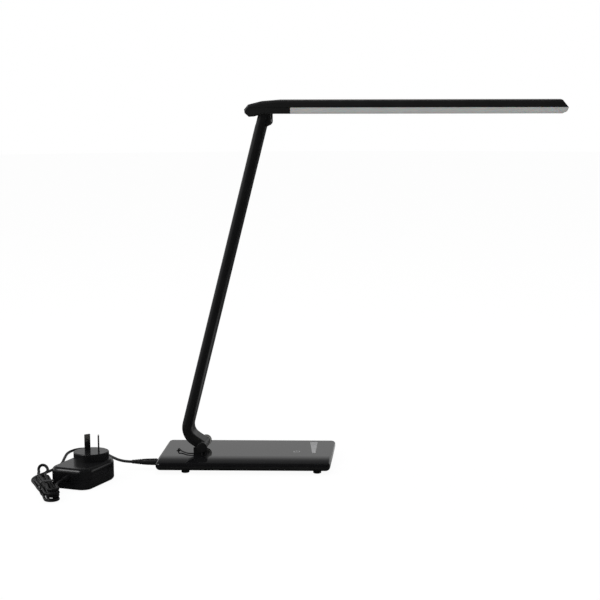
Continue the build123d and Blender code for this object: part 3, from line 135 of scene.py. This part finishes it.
def hank_point(x, y, z):
    """A point of the hank in millimetres, from its own length, side and height."""
    return HANK_AT + HANK_ALONG * x + HANK_LEFT * y + Vector((0, 0, z))


def hank_runs():
    """The runs in their order: offset from the middle, first layer, last layer."""
    inner, second, third, outer = OFFSETS
    return [
        (outer, 0, 0), (third, 0, 0), (second, 0, 0), (inner, 0, 1),
        (second, 1, 1), (third, 1, 1), (outer, 1, 2),
        (third, 2, 2), (second, 2, 2), (inner, 2, 3),
        (second, 3, 3), (third, 3, 3),
    ]


def hank_points():
    """Control points of the hank: each run with its waist, and each half turn."""
    runs = hank_runs()
    last = len(runs) - 1
    points = []
    for number, (offset, low, high) in enumerate(runs):
        side = 1 if number % 2 == 0 else -1
        z_start, z_end = FIRST_Z + low * LAYER_STEP, FIRST_Z + high * LAYER_STEP
        before = FAR_REACH[low] if side == 1 else -NEAR_REACH[low]
        after = -NEAR_REACH[high] if side == 1 else FAR_REACH[high]
        if number == 0:
            before = START_X
        points.append(hank_point(before, side * offset, z_start))
        if number == last:
            points.append(hank_point(EXIT_X, side * offset, z_start))
            break
        middle_z = (z_start + z_end) / 2
        for share, draw in ((BEFORE_WAIST, SIDE_DRAW), (1.0, 1.0)):
            x = before + (WAIST_X - before) * share
            z = z_start + (middle_z - z_start) * share
            points.append(hank_point(x, side * (offset - WAIST_DRAW * draw), z))
        x = WAIST_X + (after - WAIST_X) * AFTER_WAIST
        z = middle_z + (z_end - middle_z) * AFTER_WAIST
        points.append(hank_point(x, side * (offset - WAIST_DRAW * SIDE_DRAW), z))
        points.append(hank_point(after, side * offset, z_end))
        leaves, enters = side * offset, -side * runs[number + 1][0]
        rise = 0.0
        is_loose_loop = number == last - 2
        if is_loose_loop:
            after, leaves, enters, rise = RING_X, RING_RIGHT, RING_LEFT, RING_RISE
            points.append(hank_point(after - RING_NECK, leaves + RING_LEAVE_DRAW, z_end))
            points.append(hank_point(after, leaves, z_end))
        radius, centre = abs(enters - leaves) / 2, (enters + leaves) / 2
        for step in range(1, TURN_STEPS):
            angle = pi * step / TURN_STEPS
            x = after - side * radius * sin(angle)
            y = centre + (leaves - centre) * cos(angle)
            points.append(hank_point(x, y, z_end + rise * sin(angle)))
        if is_loose_loop:
            points.append(hank_point(after, enters, z_end))
            points.append(hank_point(after - RING_NECK, enters + RING_ENTER_DRAW, z_end))
    return points


def spline_tube(name, points, diameter):
    """A round tube along one smooth open spline whose control points are in millimetres."""
    curve = bpy.data.curves.new(name, "CURVE")
    curve.dimensions = "3D"
    curve.resolution_u = 8
    # Blender widens a curve's bounding box by its points' radius, so they carry the tube's own
    curve.bevel_depth = 1.0
    curve.bevel_resolution = 5
    curve.use_fill_caps = True
    line = curve.splines.new("NURBS")
    line.points.add(len(points) - 1)
    for point, place in zip(line.points, points):
        point.co = (*(Vector(place) * MM), 1.0)
        point.radius = diameter / 2 * MM
    line.order_u = 3
    line.use_endpoint_u = True
    obj = bpy.data.objects.new(name, curve)
    collection.objects.link(obj)
    return obj


hank = hank_points()
route = [Vector(p) for p in LAMP_ROUTE]
route += [hank[0] + HANK_ALONG * LEAD_IN, *hank]
route += [hank[-1] + HANK_ALONG * LEAD_OUT, RELIEF_TIP + ADAPTER_WAY * RELIEF_LEAD, RELIEF_TIP]
power_cord = spline_tube("power_cord", route, CORD_DIAMETER)
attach(power_cord, "stand")
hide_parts("cord_to_lamp", "cord_hank", "cord_to_adapter")


# ---------------------------------------------------------------- materials

CLOUD_DETAIL, GRAIN_DETAIL = 4.0, 2.0
SUBSURFACE_SCALE = 0.004

# Each finish: its darkest and lightest colour, its least and most roughness, and its grain
LOOKS = {
    "gloss_black": {
        "colours": ((0.004, 0.004, 0.0045), (0.006, 0.006, 0.0065)), "rough": (0.06, 0.09),
        "grain": 900.0, "bump": 0.01,
    },
    "head_black": {
        "colours": ((0.007, 0.007, 0.0075), (0.010, 0.010, 0.0105)), "rough": (0.36, 0.44),
        "grain": 1800.0, "bump": 0.05,
    },
    "satin_black": {
        "colours": ((0.005, 0.005, 0.0055), (0.009, 0.009, 0.0095)), "rough": (0.36, 0.46),
        "grain": 1500.0, "bump": 0.25,
    },
    "adapter_black": {
        "colours": ((0.005, 0.005, 0.0055), (0.008, 0.008, 0.0085)), "rough": (0.17, 0.25),
        "grain": 1400.0, "bump": 0.06,
    },
    "arm_black": {
        "colours": ((0.004, 0.004, 0.0045), (0.006, 0.006, 0.0065)), "rough": (0.32, 0.40),
        "grain": 2200.0, "bump": 0.08,
    },
    "rubber_black": {
        "colours": ((0.004, 0.004, 0.0045), (0.007, 0.007, 0.0075)), "rough": (0.42, 0.52),
        "specular": 0.35, "grain": 1200.0, "bump": 0.15,
    },
    "steel": {
        "colours": ((0.50, 0.50, 0.51), (0.60, 0.60, 0.61)), "rough": (0.26, 0.36),
        "metallic": 1.0, "grain": 900.0, "stretch": (0.05, 1, 1), "bump": 0.05,
    },
    "plated": {
        "colours": ((0.66, 0.65, 0.62), (0.74, 0.73, 0.70)), "rough": (0.14, 0.22),
        "metallic": 1.0, "grain": 1500.0, "stretch": (1, 1, 0.08), "bump": 0.03,
    },
    # The diffuser is white, but its colours here are a mid grey: painted shade for its face
    # that turns down, away from the light
    "diffuser_white": {
        "colours": ((0.45, 0.46, 0.45), (0.49, 0.50, 0.49)), "rough": (0.40, 0.48),
        "grain": 1100.0, "bump": 0.15, "subsurface": 0.25,
    },
    "print_grey": {
        "colours": ((0.30, 0.30, 0.305), (0.34, 0.34, 0.345)), "rough": (0.3, 0.4),
    },
    "carrier_metal": {
        "colours": ((0.70, 0.70, 0.71), (0.78, 0.78, 0.79)), "rough": (0.3, 0.4),
        "metallic": 1.0, "grain": 900.0, "stretch": (0.04, 1, 1),
    },
    "board_green": {
        "colours": ((0.015, 0.09, 0.035), (0.02, 0.13, 0.05)), "rough": (0.25, 0.4),
        "cloud": 300.0,
    },
    "board_white": {
        "colours": ((0.74, 0.74, 0.71), (0.80, 0.80, 0.77)), "rough": (0.3, 0.4),
        "cloud": 200.0,
    },
    "component_dark": {
        "colours": ((0.012, 0.012, 0.014), (0.03, 0.03, 0.033)), "rough": (0.35, 0.5),
        "cloud": 250.0,
    },
    "led_yellow": {
        "colours": ((0.70, 0.55, 0.10), (0.82, 0.68, 0.2)), "rough": (0.3, 0.4),
        "cloud": 900.0,
    },
    "washer_white": {
        "colours": ((0.62, 0.62, 0.58), (0.72, 0.72, 0.68)), "rough": (0.35, 0.45),
    },
}

# Nodes that look unlike the rest of their slot
OWN_FINISH = {
    "head_housing": "head_black", "head_tail_cover": "head_black",
    "adapter_lower_shell": "adapter_black", "adapter_upper_shell": "adapter_black",
}


def empty_material(name):
    """A node material with no nodes, and its tree."""
    material = bpy.data.materials.new(name)
    material.use_nodes = True
    material.node_tree.nodes.clear()
    return material, material.node_tree


def grey(value):
    """A grey as a colour with full cover."""
    return (value, value, value, 1)


def add_noise(tree, place, scale, detail, stretch=(1, 1, 1)):
    """Noise over object coordinates, stretched along an axis where a finish has a grain."""
    mapping = tree.nodes.new("ShaderNodeMapping")
    mapping.inputs["Scale"].default_value = stretch
    noise = tree.nodes.new("ShaderNodeTexNoise")
    noise.inputs["Scale"].default_value = scale
    noise.inputs["Detail"].default_value = detail
    tree.links.new(place.outputs["Object"], mapping.inputs["Vector"])
    tree.links.new(mapping.outputs["Vector"], noise.inputs["Vector"])
    return noise.outputs["Fac"]


def add_ramp(tree, source, steps):
    """A ramp through pairs of a position and a colour, driven by one value."""
    ramp = tree.nodes.new("ShaderNodeValToRGB")
    marks = ramp.color_ramp.elements
    for _ in range(len(steps) - 2):
        marks.new(0.5)
    for mark, (position, colour) in zip(marks, steps):
        mark.position = position
        mark.color = colour
    tree.links.new(source, ramp.inputs["Fac"])
    return ramp.outputs["Color"]


def add_mix(tree, share, first, second):
    """A mix of two shaders by a share from 0 to 1."""
    node = tree.nodes.new("ShaderNodeMixShader")
    tree.links.new(share, node.inputs["Fac"])
    tree.links.new(first, node.inputs[1])
    tree.links.new(second, node.inputs[2])
    return node.outputs[0]


def surface(name, colours, rough, metallic=0.0, specular=0.5, cloud=40.0, grain=2500.0,
            bump=0.04, depth=0.00002, stretch=(1, 1, 1), subsurface=0.0):
    """A finish with slow changes of colour, and a fine grain in its roughness and relief."""
    low, high = 0.3, 0.7  # most of a noise's values lie between these
    material, tree = empty_material(name)
    output = tree.nodes.new("ShaderNodeOutputMaterial")
    shader = tree.nodes.new("ShaderNodeBsdfPrincipled")
    place = tree.nodes.new("ShaderNodeTexCoord")
    tree.links.new(shader.outputs["BSDF"], output.inputs["Surface"])
    slow = add_noise(tree, place, cloud, CLOUD_DETAIL)
    colour = add_ramp(tree, slow, ((low, (*colours[0], 1)), (high, (*colours[1], 1))))
    tree.links.new(colour, shader.inputs["Base Color"])
    fine = add_noise(tree, place, grain, GRAIN_DETAIL, stretch)
    roughness = add_ramp(tree, fine, ((low, grey(rough[0])), (high, grey(rough[1]))))
    tree.links.new(roughness, shader.inputs["Roughness"])
    relief = tree.nodes.new("ShaderNodeBump")
    relief.inputs["Strength"].default_value = bump
    relief.inputs["Distance"].default_value = depth
    tree.links.new(fine, relief.inputs["Height"])
    tree.links.new(relief.outputs["Normal"], shader.inputs["Normal"])
    shader.inputs["Metallic"].default_value = metallic
    shader.inputs["Specular IOR Level"].default_value = specular
    if subsurface:
        shader.inputs["Subsurface Weight"].default_value = subsurface
        shader.inputs["Subsurface Scale"].default_value = SUBSURFACE_SCALE
    return material


finishes = {name: surface(name, **look) for name, look in LOOKS.items()}
for part in frame["record"]["subparts"]:
    finish = finishes[OWN_FINISH.get(part["node"], part["material_slot"])]
    materials = nodes[part["node"]].data.materials
    materials.clear()
    materials.append(finish)
power_cord.data.materials.append(finishes["rubber_black"])


# ---------------------------------------------------------------- floor

FLOOR_RADIUS, FLOOR_DROP = 6.0, 0.0002
FLOOR_GREY = 0.70
FLOOR_GLOW, GLOW_SHARE = 1.03, 0.92
# Where the floor's painted reflection lies, and how it fades from pale to dark in a gloss
PAINTED_REFLECTION_AT = (0.20, 0.14, 0.0)
PAINTED_REFLECTION_STEPS = ((0.12, grey(0.6)), (0.22, grey(0.04)))


def floor_material():
    """White to the camera with a share of the light that falls on it; in a gloss dark, with a
    painted reflection in one pale patch.
    """
    material, tree = empty_material("floor")
    output = tree.nodes.new("ShaderNodeOutputMaterial")
    path = tree.nodes.new("ShaderNodeLightPath")
    lit = tree.nodes.new("ShaderNodeBsdfDiffuse")
    lit.inputs["Color"].default_value = grey(FLOOR_GREY)
    own = tree.nodes.new("ShaderNodeEmission")
    own.inputs["Strength"].default_value = FLOOR_GLOW
    share = tree.nodes.new("ShaderNodeMath")
    share.operation = "MULTIPLY"
    share.inputs[1].default_value = GLOW_SHARE
    tree.links.new(path.outputs["Is Camera Ray"], share.inputs[0])
    plain = add_mix(tree, share.outputs[0], lit.outputs[0], own.outputs[0])

    # A painted reflection: in a gloss the floor shows dark, and only a patch behind the base,
    # at its right, is pale
    place = tree.nodes.new("ShaderNodeTexCoord")
    away = tree.nodes.new("ShaderNodeVectorMath")
    away.operation = "DISTANCE"
    away.inputs[1].default_value = PAINTED_REFLECTION_AT
    tree.links.new(place.outputs["Object"], away.inputs[0])
    dark = tree.nodes.new("ShaderNodeBsdfDiffuse")
    painted_reflection = add_ramp(tree, away.outputs["Value"], PAINTED_REFLECTION_STEPS)
    tree.links.new(painted_reflection, dark.inputs["Color"])
    shown = add_mix(tree, path.outputs["Is Glossy Ray"], plain, dark.outputs[0])
    tree.links.new(shown, output.inputs["Surface"])
    return material


floor_mesh = bpy.data.meshes.new("floor")
shape = bmesh.new()
bmesh.ops.create_circle(shape, cap_ends=True, segments=96, radius=FLOOR_RADIUS)
shape.to_mesh(floor_mesh)
shape.free()
floor = bpy.data.objects.new("floor", floor_mesh)
floor.location = (0, 0, -FLOOR_DROP)
floor_mesh.materials.append(floor_material())
collection.objects.link(floor)


# ---------------------------------------------------------------- world

SOFT_LIGHT = 0.62
LEAST_SHINE = 0.03
LEFT_RANGE, LEFT_SHINE = (-0.35, -0.9), 0.42
BEHIND_RANGE = (0.1, 0.6)
HEIGHT_STEPS = (
    (0.0, 0.48), (0.255, 0.48), (0.32, 0.24), (0.37, 0.10), (0.43, 0.03), (1.0, 0.03),
)

world = bpy.data.worlds.new("studio")
scene.world = world
world.use_nodes = True
sky = world.node_tree
sky.nodes.clear()


def background(strength=1.0):
    """A white background of one strength, for a part of the rays."""
    node = sky.nodes.new("ShaderNodeBackground")
    node.inputs["Color"].default_value = grey(1.0)
    node.inputs["Strength"].default_value = strength
    return node


def weight(source, span, to_high=1.0):
    """A smooth rise from 0 over a part of a direction's range."""
    node = sky.nodes.new("ShaderNodeMapRange")
    node.interpolation_type = "SMOOTHSTEP"
    for key, value in zip(("From Min", "From Max", "To Min", "To Max"), (*span, 0.0, to_high)):
        node.inputs[key].default_value = value
    sky.links.new(source, node.inputs["Value"])
    return node.outputs[0]


def combine(operation, first, second):
    """One sum or product of two numbers of the world's light."""
    node = sky.nodes.new("ShaderNodeMath")
    node.operation = operation
    for socket, value in zip(node.inputs, (first, second)):
        if isinstance(value, float):
            socket.default_value = value
        else:
            sky.links.new(value, socket)
    return node.outputs[0]


# What shines in a gloss: bright low down behind the lamp, soft at the left, else dark
sky_output = sky.nodes.new("ShaderNodeOutputWorld")
rays = sky.nodes.new("ShaderNodeLightPath")
direction = sky.nodes.new("ShaderNodeTexCoord")
split = sky.nodes.new("ShaderNodeSeparateXYZ")
sky.links.new(direction.outputs["Generated"], split.inputs[0])
height = add_ramp(sky, split.outputs["Z"], [(at, grey(value)) for at, value in HEIGHT_STEPS])
behind = combine("MULTIPLY", height, weight(split.outputs["Y"], BEHIND_RANGE))
left = weight(split.outputs["X"], LEFT_RANGE, LEFT_SHINE)
shine = combine("ADD", combine("ADD", behind, left), LEAST_SHINE)
in_gloss = background()
sky.links.new(shine, in_gloss.inputs["Strength"])
lighting = add_mix(
    sky, rays.outputs["Is Glossy Ray"], background(SOFT_LIGHT).outputs[0], in_gloss.outputs[0],
)
shown = add_mix(sky, rays.outputs["Is Camera Ray"], lighting, background().outputs[0])
sky.links.new(shown, sky_output.inputs["Surface"])


# ---------------------------------------------------------------- lamps

def area_lamp(name, place, target, size, power, shows_in_gloss=True):
    """A soft square lamp that faces a point."""
    data = bpy.data.lights.new(name, "AREA")
    data.shape = "SQUARE"
    data.size = size
    data.energy = power
    lamp = bpy.data.objects.new(name, data)
    lamp.location = place
    lamp.visible_glossy = shows_in_gloss
    lamp.rotation_euler = (Vector(target) - Vector(place)).to_track_quat("-Z", "Y").to_euler()
    collection.objects.link(lamp)


area_lamp("key_lamp", (-1.5, -0.9, 1.7), (0.0, 0.0, 0.2), size=1.1, power=16)
area_lamp(
    "top_lamp", (0.1, 0.5, 2.1), (0.1, 0.0, 0.3), size=1.4, power=16, shows_in_gloss=False,
)
scene.view_settings.view_transform = "Standard"
